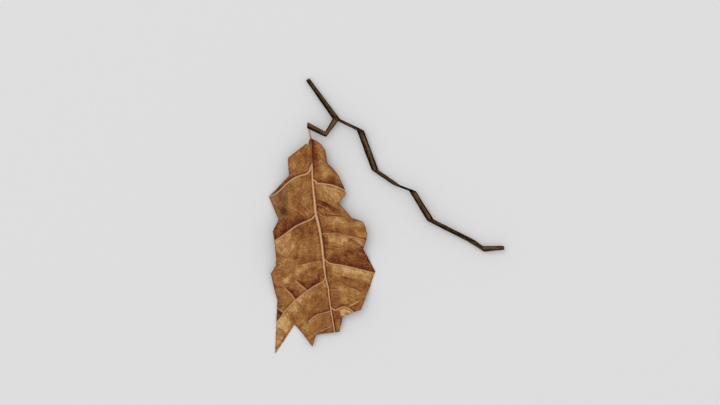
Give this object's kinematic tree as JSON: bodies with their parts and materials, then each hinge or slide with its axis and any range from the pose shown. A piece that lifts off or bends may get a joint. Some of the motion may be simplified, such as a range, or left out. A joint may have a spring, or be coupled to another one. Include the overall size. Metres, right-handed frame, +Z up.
{
  "type": "oak leaf",
  "caption": "Dry brown oak leaf, underside up, joined by its short stalk to a thin zigzag piece of broken twig.",
  "frame": {"origin": "middle of the whole thing's box, on the surface it lies on", "axes": "+Z up from the surface, +Y from the leaf's tip towards its stalk and the twig's short end, +X from the leaf towards the twig's long end"},
  "size_m": [0.1552, 0.181, 0.0125],
  "materials": {
    "leaf": "dry, matt, brown",
    "twig": "thin dark bark, matt"
  },
  "bodies": {
    "root": {"leaf": "leaf", "twig": "twig"}
  },
  "joints": []
}
